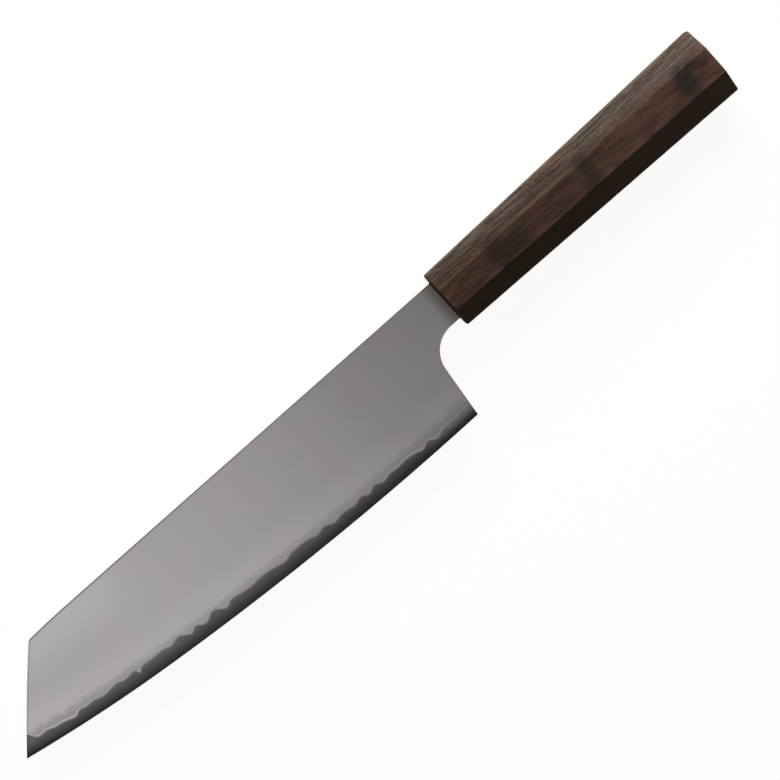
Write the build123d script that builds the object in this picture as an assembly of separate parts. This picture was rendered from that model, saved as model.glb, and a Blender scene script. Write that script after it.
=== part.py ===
from build123d import *
import math
import os

# Kiritsuke knife lying on its right side: a three-layer blade with a glued tang in an octagonal wood handle.
# Millimetres. X runs from the tip to the butt, Y from the edge to the spine, Z from the right side to the left.
# The outlines are drawn with the spine line on Y = 0 and the tip at X = 0, and the whole knife is centred last.

# Blade outline, seen from the side
blade_length = 200.0
heel_height = 46.1
tip_drop = 31.5
tip_cut_run = 28.5
tip_cut_bulge = 0.33
tip_corner_depth = 0.5
tip_corner_radius = 1.2
spine_fall_run = 18.0
belly_along = 60.0
belly_depth = 40.26
heel_rise_angle = 0.85
choil_lean_angle = 6.1
choil_radius = 11.4

# Blade thickness
spine_thickness_heel = 2.2
spine_thickness_tip = 1.9
edge_thickness = 0.44
edge_bevel_angle = 14.0
core_thickness = 0.42

# Exposed strip of core steel along the edge, up to the wavy line where the cladding ends
strip_height = 5.2

# Neck and tang
neck_height = 16.3
neck_length = 17.95
tang_length = 88.0
tang_front_height = 11.0
tang_end_height = 8.0
tang_thickness = 1.6
tang_end_radius = 2.0

# Handle, an eight-sided taper
handle_length = 126.55
handle_front_rise = 3.3
handle_butt_rise = 6.7
handle_front_height = 22.95
handle_butt_height = 27.5
handle_front_thickness = 19.0
handle_butt_thickness = 21.5
side_facet_front = 9.3
side_facet_butt = 11.0
chamfer_angle = 49.2
facet_edge_radius = 0.5
handle_end_radius = 0.8

# Dowel, its slot and the glue around it
dowel_diameter = 12.8
dowel_glue_gap = 0.1
dowel_web = 6.0
dowel_slot_clearance = 0.2
dowel_slot_end_gap = 1.5
bore_end_gap = 0.5

# Seal between the neck's shoulders and the handle's front
seal_thickness = 0.3
seal_margin = 0.3
seal_corner_radius = 0.5

# How far cutting shapes run past what they cut
overrun = 12.0

# Wavy line of the cladding: share of the edge's length from the tip, and height over the edge as a
# share of strip_height. The first point lies outside the blade, above the cut of the tip.
clad_line_shares = [
    (0.000, 2.85), (0.030, 1.48), (0.041, 0.96), (0.062, 1.01), (0.075, 0.90), (0.094, 0.88),
    (0.116, 0.74), (0.128, 0.98), (0.141, 0.94), (0.160, 1.00), (0.174, 0.90), (0.186, 0.94),
    (0.207, 1.10), (0.225, 0.99), (0.247, 1.10), (0.253, 0.80), (0.261, 1.06), (0.285, 1.11),
    (0.311, 1.15), (0.324, 1.04), (0.345, 1.25), (0.357, 1.05), (0.368, 0.90), (0.380, 1.15),
    (0.393, 0.92), (0.403, 0.92), (0.419, 1.27), (0.432, 1.09), (0.440, 0.89), (0.448, 0.90),
    (0.456, 1.10), (0.469, 1.11), (0.486, 1.04), (0.502, 1.01), (0.516, 1.09), (0.538, 1.10),
    (0.554, 1.03), (0.576, 0.91), (0.589, 1.08), (0.614, 1.14), (0.631, 1.10), (0.647, 0.94),
    (0.666, 1.11), (0.684, 0.86), (0.693, 0.90), (0.705, 0.98), (0.721, 0.95), (0.732, 0.88),
    (0.749, 1.05), (0.765, 0.84), (0.781, 1.07), (0.797, 0.84), (0.815, 0.98), (0.834, 0.94),
    (0.854, 0.98), (0.870, 0.91), (0.887, 0.72), (0.902, 0.96), (0.919, 0.67), (0.937, 0.87),
    (0.965, 0.88), (1.000, 0.90),
]

os.makedirs("parts", exist_ok=True)


def at(along, depth):
    """A point of the blade's outline, from its distance from the tip and its depth under the spine line."""
    return Vector(along, -depth)


# The handle's own frame: X along its axis from the front, Y towards the spine, Z towards the left side.
front_axis_depth = handle_front_height / 2 - handle_front_rise
butt_axis_depth = handle_butt_height / 2 - handle_butt_rise
handle_front_along = blade_length + neck_length
handle_tilt = math.degrees(math.asin((front_axis_depth - butt_axis_depth) / handle_length))
handle_place = Location(at(handle_front_along, front_axis_depth), (0, 0, handle_tilt))


def on_handle(along, rise):
    """The outline point that lies at these lengths along and above the handle's axis."""
    return (handle_place * Location((along, rise))).position


def on_handle_box(start, end, height, thickness):
    """A box round the handle's axis, from one length along it to another."""
    box = Box(end - start, height, thickness, align=(Align.MIN, Align.CENTER, Align.CENTER))
    return handle_place * Location((start, 0, 0)) * box


def line_crossing(start, end, depth):
    """The point at this depth on the line through two outline points."""
    share = (-depth - start.Y) / (end.Y - start.Y)
    return start + (end - start) * share


tip = at(0, tip_drop)
tip_corner = at(tip_cut_run, tip_corner_depth)
spine_start = at(tip_cut_run + spine_fall_run, 0)
belly = at(belly_along, belly_depth)
heel = at(blade_length, heel_height)

# The cutting edge is two tangent arcs, drawn from the heel to the tip.
heel_direction = Vector(-1, 0).rotate(Axis.Z, heel_rise_angle)
heel_arc = TangentArc(heel, belly, tangent=heel_direction)
tip_arc = TangentArc(belly, tip, tangent=heel_arc % 1)
edge_line = Wire([heel_arc, tip_arc])


def tip_cut_middle():
    """The highest point of the slightly bulged cut between the tip and the spine."""
    middle = (tip + tip_corner) / 2
    outward = (tip_corner - tip).normalized().rotate(Axis.Z, 90)
    return middle + outward * tip_cut_bulge


def blade_outline():
    """The blade, its neck and its tang as one flat shape."""
    choil_run = (heel_height - neck_height) * math.tan(math.radians(choil_lean_angle))
    choil_corner = at(blade_length + choil_run, neck_height)
    shoulder_line = (on_handle(-seal_thickness, 0), on_handle(-seal_thickness, handle_front_height))
    shoulder_top = line_crossing(*shoulder_line, 0)
    shoulder_low = line_crossing(*shoulder_line, neck_height)
    tang_points = [
        shoulder_low,
        on_handle(-seal_thickness, -tang_front_height / 2),
        on_handle(tang_length, -tang_end_height / 2),
        on_handle(tang_length, tang_end_height / 2),
        on_handle(-seal_thickness, tang_front_height / 2),
        shoulder_top,
    ]
    tip_cut = ThreePointArc(tip, tip_cut_middle(), tip_corner)
    spine_fall = TangentArc(spine_start, tip_corner, tangent=(-1, 0))
    spine = Line(spine_start, shoulder_top)
    choil = FilletPolyline(heel, choil_corner, shoulder_low, radius=choil_radius)
    shape = make_face([tip_cut, spine_fall, spine, Polyline(*tang_points), choil, heel_arc, tip_arc])
    shape = fillet(shape.vertices().sort_by_distance(tip_corner)[0], tip_corner_radius)
    tang_end = shape.vertices().sort_by_distance(on_handle(tang_length, 0))[:2]
    return fillet(tang_end, tang_end_radius)


def half_thickness(along, depth):
    """Half of the blade's thickness on its flat ground faces."""
    spine_slope = (spine_thickness_heel - spine_thickness_tip) / (blade_length - tip_cut_run) / 2
    face_slope = (spine_thickness_heel - edge_thickness) / heel_height / 2
    return spine_thickness_heel / 2 - (blade_length - along) * spine_slope - depth * face_slope


def face_point(along, depth):
    """A point on the left ground face."""
    return Vector(along, -depth, half_thickness(along, depth))


def mirrored(point):
    """The same point or direction on the knife's other side."""
    return Vector(point.X, point.Y, -point.Z)


def bevel_room():
    """The space that the sharpened edge stays in: a broad plate whose lower rim is ground from both sides."""
    half = spine_thickness_heel
    past_heel = heel - heel_direction * (neck_length + tang_length + overrun)
    past_tip = tip + (tip_arc % 1) * overrun * 2
    top = overrun * 2
    rim = Wire([
        *Line(past_heel, heel).edges(),
        *edge_line.edges(),
        *Line(tip, past_tip).edges(),
        *Polyline(past_tip, (past_tip.X, top), (past_heel.X, top), past_heel).edges(),
    ])
    plate = extrude(Face(rim), half, taper=90 - edge_bevel_angle)
    return plate + mirror(plate, Plane.XY)


def blade_body():
    """The whole steel of the knife, before it is divided into its three layers."""
    reach = spine_thickness_heel
    blank = extrude(blade_outline(), reach, both=True)
    across = face_point(blade_length, heel_height) - face_point(blade_length, 0)
    along = face_point(0, 0) - face_point(blade_length, 0)
    left_normal = across.cross(along)
    left_normal = left_normal if left_normal.Z > 0 else -left_normal
    left_face = Plane(origin=face_point(blade_length, 0), z_dir=left_normal)
    ground = split(blank, left_face, keep=Keep.BOTTOM)
    right_face = Plane(origin=mirrored(face_point(blade_length, 0)), z_dir=mirrored(left_normal))
    ground = split(ground, right_face, keep=Keep.BOTTOM)
    tang_room = on_handle_box(-seal_thickness, tang_length + overrun, handle_butt_height, tang_thickness)
    behind = on_handle_box(-seal_thickness, tang_length + overrun, handle_butt_height, reach + overrun)
    front = ground - behind
    tang = ground & tang_room
    return (front & bevel_room()) + tang


def clad_line():
    """The wavy line where the cladding ends, as short curves that join smoothly, a little past the blade."""
    points = []
    for along_share, height_share in clad_line_shares:
        foot = edge_line.position_at(1 - along_share)
        points.append(foot + Vector(0, height_share * strip_height))
    points.append(points[-1] + Vector(overrun, 0))
    ahead = points[1:] + points[-1:]
    behind = points[:1] + points[:-1]
    leans = [(after - before).normalized() for before, after in zip(behind, ahead)]
    curves = []
    for start, end, start_lean, end_lean in zip(points, points[1:], leans, leans[1:]):
        arm = (end - start).length / 3
        curves.append(Bezier(start, start + start_lean * arm, end - end_lean * arm, end))
    return curves


def clad_room():
    """The space on the left side that the left cladding is cut from."""
    line = clad_line()
    start = line[0] @ 0
    end = line[-1] @ 1
    far = handle_front_along + handle_length
    room = make_face([*line, Polyline(end, (far, end.Y), (far, overrun), (start.X, overrun), start)])
    return Location((0, 0, core_thickness / 2)) * extrude(room, spine_thickness_heel)


def octagon(along, height, thickness, side_height):
    """The corners of a section of the handle across its axis."""
    top_width = thickness - (height - side_height) / math.tan(math.radians(chamfer_angle))
    upper = [(side_height, thickness), (height, top_width), (height, -top_width), (side_height, -thickness)]
    lower = [(-rise, -side) for rise, side in upper]
    return [Vector(along, rise / 2, side / 2) for rise, side in upper + lower]


def handle_blank():
    """The outside of the handle, with eased edges."""
    front = octagon(0, handle_front_height, handle_front_thickness, side_facet_front)
    butt = octagon(handle_length, handle_butt_height, handle_butt_thickness, side_facet_butt)
    faces = [Face(Wire.make_polygon(front)), Face(Wire.make_polygon(butt))]
    for corner in range(len(front)):
        facet = [front[corner - 1], front[corner], butt[corner], butt[corner - 1]]
        faces.append(Face(Wire.make_polygon(facet)))
    blank = Solid(Shell(faces))
    long_edges = blank.edges().filter_by(lambda edge: edge.length > handle_length / 2)
    blank = fillet(long_edges, facet_edge_radius)
    ends = blank.faces().sort_by(Axis.X)
    return fillet(ends[0].edges() + ends[-1].edges(), handle_end_radius)


def rod(diameter, length):
    """A round rod along the handle's axis, from its front face."""
    return Rot(0, 90, 0) * Cylinder(diameter / 2, length, align=(Align.CENTER, Align.CENTER, Align.MIN))


slot_length = tang_length + dowel_slot_end_gap
dowel_length = slot_length + dowel_web
bore_length = dowel_length + bore_end_gap
bore_diameter = dowel_diameter + dowel_glue_gap * 2
slot_width = tang_thickness + dowel_slot_clearance * 2

bore = handle_place * rod(bore_diameter, bore_length)
handle_body = handle_place * handle_blank() - bore
tang_dowel = handle_place * rod(dowel_diameter, dowel_length)
tang_dowel -= on_handle_box(-overrun, slot_length, bore_diameter, slot_width)

steel = blade_body()
left_room = clad_room()
left_cladding = steel & left_room
right_cladding = steel & mirror(left_room, Plane.XY)
core_steel = steel - left_cladding - right_cladding
tang_adhesive = bore - tang_dowel - steel

# The seal is a thin bead between the shoulders and the wood, a little wider than the neck all round.
neck_rise = front_axis_depth - neck_height / 2
seal_plate = Box(
    seal_thickness,
    neck_height + seal_margin * 2,
    spine_thickness_heel + seal_margin * 2,
    align=(Align.MAX, Align.CENTER, Align.CENTER),
)
seal_plate = fillet(seal_plate.edges().filter_by(Axis.X), seal_corner_radius)
neck_seal = handle_place * Location((0, neck_rise, 0)) * seal_plate - steel

nodes = {
    "core_steel": core_steel,
    "left_cladding": left_cladding,
    "right_cladding": right_cladding,
    "handle_body": handle_body,
    "tang_dowel": tang_dowel,
    "tang_adhesive": tang_adhesive,
    "neck_seal": neck_seal,
}

# The origin is on the floor under the middle of the knife's box.
whole = Compound(children=[shape.solids()[0] for shape in nodes.values()])
box = whole.bounding_box()
centring = Location((-box.center().X, -box.center().Y, -box.min.Z))
for name, shape in nodes.items():
    placed = centring * shape
    export_step(placed, os.path.join("parts", name + ".step"))
    print(name, len(placed.solids()), round(placed.volume, 2))
print("centring", centring.position)
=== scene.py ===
"""Kiritsuke knife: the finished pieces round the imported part, its stage and its camera."""
import math
from bisect import bisect_right

import bmesh
import bpy
from bpy.props import FloatProperty, FloatVectorProperty, PointerProperty
from mathutils import Matrix, Vector
from mathutils.geometry import intersect_line_line_2d


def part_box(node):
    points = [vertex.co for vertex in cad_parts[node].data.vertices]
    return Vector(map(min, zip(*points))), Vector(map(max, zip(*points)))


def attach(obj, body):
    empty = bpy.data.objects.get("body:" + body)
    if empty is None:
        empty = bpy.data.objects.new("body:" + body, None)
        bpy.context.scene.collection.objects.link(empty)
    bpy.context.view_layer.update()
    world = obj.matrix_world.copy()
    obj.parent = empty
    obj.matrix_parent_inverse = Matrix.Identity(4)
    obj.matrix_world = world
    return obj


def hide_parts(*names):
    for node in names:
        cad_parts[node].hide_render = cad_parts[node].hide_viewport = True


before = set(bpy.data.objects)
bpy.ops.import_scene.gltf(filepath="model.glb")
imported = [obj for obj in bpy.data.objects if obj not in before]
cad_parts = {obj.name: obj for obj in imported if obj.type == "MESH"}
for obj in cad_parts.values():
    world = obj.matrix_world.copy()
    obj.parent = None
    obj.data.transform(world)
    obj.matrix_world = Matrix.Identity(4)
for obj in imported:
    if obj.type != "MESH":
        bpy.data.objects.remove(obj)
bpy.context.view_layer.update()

bl_info = {
    "name": "Kiritsuke Knife",
    "version": (1, 0, 0),
    "blender": (4, 5, 0),
    "location": "View3D > Sidebar > Knife",
    "description": "Builds a kiritsuke knife with a three-layer blade and an octagonal wood handle",
    "category": "Add Mesh",
}

MM = 0.001

# Where the outlines' zero is in the frame: the tip's end, the spine's line and the blade's middle plane.
STEEL_LOW, STEEL_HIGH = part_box("core_steel")
ORIGIN = Vector((STEEL_LOW.x, STEEL_HIGH.y, (STEEL_LOW.z + STEEL_HIGH.z) / 2))

# How far the tip's cut runs along the spine's line, in millimetres
TIP_CUT_RUN = 28.5
# Where the tip's cut ends and where the handle's front is, in the frame's millimetres
CUT_END_ALONG = ORIGIN.x / MM + TIP_CUT_RUN
FRONT_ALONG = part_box("handle_body")[0].x / MM
# The handle's upper line, in the frame's millimetres: its Y where X is 0, and how much Y rises with X
HANDLE_TOP = 21.9
HANDLE_TOP_SLOPE = 0.0267

# What the neck's colour is multiplied by where it meets the handle: a painted shadow of the handle, warmed
# by a painted reflection of its wood
NECK_PAINTED_SHADOW = (0.6, 0.53, 0.51)
# What the wood's colour is multiplied by: in its redder and greener patches, and on the lower facets as
# part of their painted shade
REDDER_WOOD = (1.05, 0.96, 1.02)
GREENER_WOOD = (0.94, 1.03, 0.97)
LOWER_FACET_PAINTED_SHADE = (1.0, 1.14, 1.0)

# Where the middle of the picture falls on the knife, in metres
VIEW_CENTRE = Vector((0.0101, 0.0008, ORIGIN.z))
# The soft lamps: place, the point they face, width and height, in metres
KEY_LAMP = ((0.55, 1.05, 0.7), (0.06, 0.0, 0.0), 1.0, 0.7)
OVERHEAD_SHEET = ((-0.36, -0.1, 0.85), (-0.36, -0.1, 0.0), 0.62, 0.5)
# The floor: half its width and how far it lies under the knife, in metres
FLOOR_REACH = 9.0
FLOOR_DROP = 0.0002
# How bright the floor's own white is, and its share over the matt floor, which keeps the shadow
FLOOR_WHITE = 1.17
FLOOR_COVER = 0.8

# Wavy line of the cladding: share of the edge's length from the tip, and height over the edge as a
# share of the strip's height. The first point lies outside the blade, above the cut of the tip.
CLAD_LINE_SHARES = [
    (0.000, 2.85), (0.030, 1.48), (0.041, 0.96), (0.062, 1.01), (0.075, 0.90), (0.094, 0.88),
    (0.116, 0.74), (0.128, 0.98), (0.141, 0.94), (0.160, 1.00), (0.174, 0.90), (0.186, 0.94),
    (0.207, 1.10), (0.225, 0.99), (0.247, 1.10), (0.253, 0.80), (0.261, 1.06), (0.285, 1.11),
    (0.311, 1.15), (0.324, 1.04), (0.345, 1.25), (0.357, 1.05), (0.368, 0.90), (0.380, 1.15),
    (0.393, 0.92), (0.403, 0.92), (0.419, 1.27), (0.432, 1.09), (0.440, 0.89), (0.448, 0.90),
    (0.456, 1.10), (0.469, 1.11), (0.486, 1.04), (0.502, 1.01), (0.516, 1.09), (0.538, 1.10),
    (0.554, 1.03), (0.576, 0.91), (0.589, 1.08), (0.614, 1.14), (0.631, 1.10), (0.647, 0.94),
    (0.666, 1.11), (0.684, 0.86), (0.693, 0.90), (0.705, 0.98), (0.721, 0.95), (0.732, 0.88),
    (0.749, 1.05), (0.765, 0.84), (0.781, 1.07), (0.797, 0.84), (0.815, 0.98), (0.834, 0.94),
    (0.854, 0.98), (0.870, 0.91), (0.887, 0.72), (0.902, 0.96), (0.919, 0.67), (0.937, 0.87),
    (0.965, 0.88), (1.000, 0.90),
]


def size(name, millimetres, description):
    """A length that a user may change, given in millimetres and kept in metres."""
    return FloatProperty(
        name=name, description=description, default=millimetres * MM, min=0.0,
        precision=4, unit="LENGTH", subtype="DISTANCE",
    )


def turn(name, degrees, description):
    """An angle that a user may change, given in degrees."""
    return FloatProperty(
        name=name, description=description, default=math.radians(degrees),
        unit="ROTATION", subtype="ANGLE",
    )


def as_shown(red, green, blue):
    """The linear colour of display values from 0 to 255."""
    shares = (red / 255, green / 255, blue / 255)
    return tuple(c / 12.92 if c <= 0.04045 else ((c + 0.055) / 1.055) ** 2.4 for c in shares)


def colour(name, shown, description):
    """A colour that a user may change, given as display values."""
    return FloatVectorProperty(
        name=name, description=description, default=as_shown(*shown), size=3,
        min=0.0, max=1.0, subtype="COLOR",
    )


def amount(name, default, description):
    """A plain number that a user may change."""
    return FloatProperty(name=name, description=description, default=default, min=0.0)


class BladeSizes(bpy.types.PropertyGroup):
    """Sizes of the steel. The part's source has the same ones, but no lip and no eased edges."""

    length: size("Blade length", 200.0, "From the tip to the heel")
    heel_height: size("Heel height", 46.1, "From the spine's line to the heel")
    tip_drop: size("Tip drop", 31.5, "From the spine's line to the tip")
    tip_cut_run: size(
        "Tip cut run", TIP_CUT_RUN, "Along the spine's line, from the tip to the cut's upper end"
    )
    tip_cut_bulge: size("Tip cut bulge", 0.33, "How far the cut bulges over its straight line")
    tip_corner_depth: size("Tip corner depth", 0.5, "From the spine's line to the cut's upper end")
    spine_fall_run: size("Spine fall run", 18.0, "Where the spine falls to the cut's upper end")
    tip_corner_radius: size("Tip corner radius", 1.2, "Where the cut meets the spine")
    belly_along: size("Belly place", 60.0, "From the tip to where the edge's two arcs meet")
    belly_depth: size("Belly depth", 40.26, "From the spine's line to where the edge's two arcs meet")
    heel_rise: turn("Heel rise", 0.85, "How much the edge falls from the heel towards the tip")
    choil_lean: turn("Choil lean", 6.1, "How much the heel's line leans towards the handle")
    choil_radius: size("Choil radius", 11.4, "Between the heel's line and the neck")
    spine_heel: size("Spine at the heel", 2.2, "Thickness")
    spine_tip: size("Spine at the tip", 1.9, "Thickness")
    edge_thickness: size("Behind the edge", 0.44, "Thickness over the sharpened bevel")
    edge_bevel: turn("Edge bevel", 14.0, "Angle of the sharpened bevel on one side")
    core_thickness: size("Core thickness", 0.42, "The middle layer")
    strip_height: size("Core strip height", 5.2, "The bare core steel over the edge")
    neck_height: size("Neck height", 16.3, "Between the choil and the handle")
    neck_length: size("Neck length", 17.95, "From the heel to the handle's front")
    tang_length: size("Tang length", 88.0, "Inside the handle")
    tang_front: size("Tang at the front", 11.0, "Height")
    tang_end: size("Tang at the end", 8.0, "Height")
    tang_thickness: size("Tang thickness", 1.6, "Thickness")
    tang_end_radius: size("Tang end radius", 2.0, "At the end's two corners")
    clad_lip: size("Cladding lip", 0.02, "How far the cladding stands over the core strip")
    eased: size("Eased edges", 0.16, "Rounding of the spine, the cut, the choil and the neck")


class HandleSizes(bpy.types.PropertyGroup):
    """Sizes of the handle. They match the part's source, where the bore's follow from the dowel's."""

    length: size("Handle length", 126.55, "From front to butt")
    front_rise: size("Front rise", 3.3, "Over the spine's line at the front")
    butt_rise: size("Butt rise", 6.7, "Over the spine's line at the butt")
    front_height: size("Front height", 22.95, "Seen from the side")
    butt_height: size("Butt height", 27.5, "Seen from the side")
    front_thickness: size("Front thickness", 19.0, "Seen from the spine")
    butt_thickness: size("Butt thickness", 21.5, "Seen from the spine")
    side_front: size("Side facet at the front", 9.3, "Height of the side facet")
    side_butt: size("Side facet at the butt", 11.0, "Height of the side facet")
    chamfer: turn("Chamfer", 49.2, "Angle of the slanted facets")
    facet_radius: size("Facet edge radius", 0.5, "Along the handle")
    end_radius: size("End radius", 0.8, "Round the two ends")
    bore: size("Bore", 13.0, "Diameter of the hole for the dowel")
    bore_length: size("Bore length", 96.0, "Depth of the hole for the dowel")
    seal_thickness: size("Seal thickness", 0.3, "Between the neck's shoulders and the handle")


class Finishes(bpy.types.PropertyGroup):
    """Colours of the finishes."""

    cladding: colour("Cladding steel", (165, 159, 159), "Satin steel of the outer layers")
    cladding_cool: colour("Cooler cladding", (161, 160, 158), "Cooler clouds in the satin steel")
    core_line: colour("Core steel under the line", (96, 97, 94), "Etched core steel under the wavy line")
    core_edge: colour("Core steel at the edge", (57, 58, 57), "Core steel near the sharpened edge")
    core_heel: colour("Light core steel", (158, 155, 153), "Beside the heel and right under the wavy line")
    wood_light: colour("Light wood", (94, 69, 58), "Early wood of the handle")
    wood_dark: colour("Dark wood", (50, 37, 31), "Late wood of the handle")
    # Also the grey that the lower facets' painted shade leans towards
    wood_smoke_and_painted_shade: colour("Smoky wood", (38, 37, 35), "Soft dark patches of the handle")
    wood_warm: colour("Warm wood", (108, 74, 44), "Warmer streaks of the handle")
    # A painted sheen: the grey that the spine's side of the handle leans towards
    wood_painted_sheen: colour("Pale wood", (100, 91, 82), "Greyer wood on the spine's side of the handle")
    glue: colour("Glue", (70, 56, 42), "Epoxy round the tang")
    seal: colour("Seal", (46, 42, 40), "Bead between the neck and the handle")


class StageLevels(bpy.types.PropertyGroup):
    """Levels of the lamps, the surroundings and the camera's place."""

    key_power: amount("Key lamp", 22.0, "Power of the soft lamp on the spine's side")
    sheet_power: amount("Overhead sheet", 0.88, "Power of the soft sheet above the tip")
    ambient: amount("Ambient", 0.03, "Light from all round on matt surfaces")
    reflected: amount("Reflected surroundings", 0.358, "What glossy surfaces mirror where no lamp stands")
    camera_distance: size("Camera distance", 1150.0, "From the blade's plane")
    view_width: size("View width", 275.4, "Width of the picture at the blade's plane")
    view_turn: turn("View turn", 41.53, "How far the knife's line is turned up in the picture")
    view_tilt: turn("View tilt", 4.0, "How far the camera leans to the spine's side")


def turned(vector, angle):
    """A flat vector, turned anticlockwise."""
    return Matrix.Rotation(angle, 2) @ vector


def mixed(first, second, share):
    """The point at this share of the way between two."""
    return first + (second - first) * share


def arc_points(start, end, direction, steps):
    """Points of the arc that leaves start in this direction and ends at end, and its direction there."""
    chord = end - start
    side = Vector((-direction.y, direction.x))
    half_sweep = math.atan2(chord.dot(side), chord.dot(direction))
    centre = start + side * (chord.length_squared / (2 * chord.dot(side)))
    points = [centre + turned(start - centre, 2 * half_sweep * step / steps) for step in range(steps + 1)]
    return points, turned(direction, 2 * half_sweep)


def rounded_corner(before, corner, after, radius, steps):
    """Points of the arc that rounds a corner between two straight lines."""
    inward = (before - corner).normalized()
    outward = (after - corner).normalized()
    half = inward.angle(outward) / 2
    start = corner + inward * (radius / math.tan(half))
    end = corner + outward * (radius / math.tan(half))
    return arc_points(start, end, -inward, steps)[0]


def bezier_points(start, start_arm, end_arm, end, steps):
    """Points of a Bezier curve, without its last one."""
    points = []
    for step in range(steps):
        share = step / steps
        rest = 1 - share
        points.append(
            start * rest ** 3
            + start_arm * (3 * rest ** 2 * share)
            + end_arm * (3 * rest * share ** 2)
            + end * share ** 3
        )
    return points


def point_at(line, along):
    """The point of a line of points, sorted by X, that has this X."""
    place = bisect_right([point.x for point in line], along)
    place = min(max(place, 1), len(line) - 1)
    first, second = line[place - 1], line[place]
    if second.x - first.x < 1e-12:
        return first.copy()
    share = min(max((along - first.x) / (second.x - first.x), 0.0), 1.0)
    return mixed(first, second, share)


def first_crossing(line, other):
    """Where two lines of points cross first: the point, and the first line's next place."""
    for place in range(1, len(line)):
        for spot in range(1, len(other)):
            met = intersect_line_line_2d(line[place - 1], line[place], other[spot - 1], other[spot])
            if met is not None:
                return met, place
    raise RuntimeError("the wavy line doesn't cross the blade's outline")


class HandlePlace:
    """The handle's own frame: along its axis from the front, up towards the spine, and out to the left."""

    def __init__(self, blade, handle):
        front_depth = handle.front_height / 2 - handle.front_rise
        butt_depth = handle.butt_height / 2 - handle.butt_rise
        self.front = Vector((blade.length + blade.neck_length, -front_depth))
        self.tilt = math.asin((front_depth - butt_depth) / handle.length)

    def flat(self, along, rise):
        """The outline point at these lengths along and above the axis."""
        return self.front + turned(Vector((along, rise)), self.tilt)

    def point(self, along, rise, side):
        """The same in the frame of the part."""
        return in_frame(self.flat(along, rise), side)


def in_frame(flat, side):
    """A point of the outline, at this height over the blade's middle plane, in the frame of the part."""
    return ORIGIN + Vector((flat.x, flat.y, side))


# How many straight steps stand for each curve or line of the blade's outline
HEEL_ARC_STEPS = 120
TIP_ARC_STEPS = 90
CUT_STEPS = 48
SPINE_FALL_STEPS = 24
SPINE_STEPS = 36
WAVE_STEPS = 7
CHOIL_STEPS = 20
HEEL_LINE_STEPS = 14
NECK_STEPS = 6
SMALL_CORNER_STEPS = 6
# How far the wavy line is drawn past the heel
LINE_OVERRUN = 12 * MM


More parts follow.
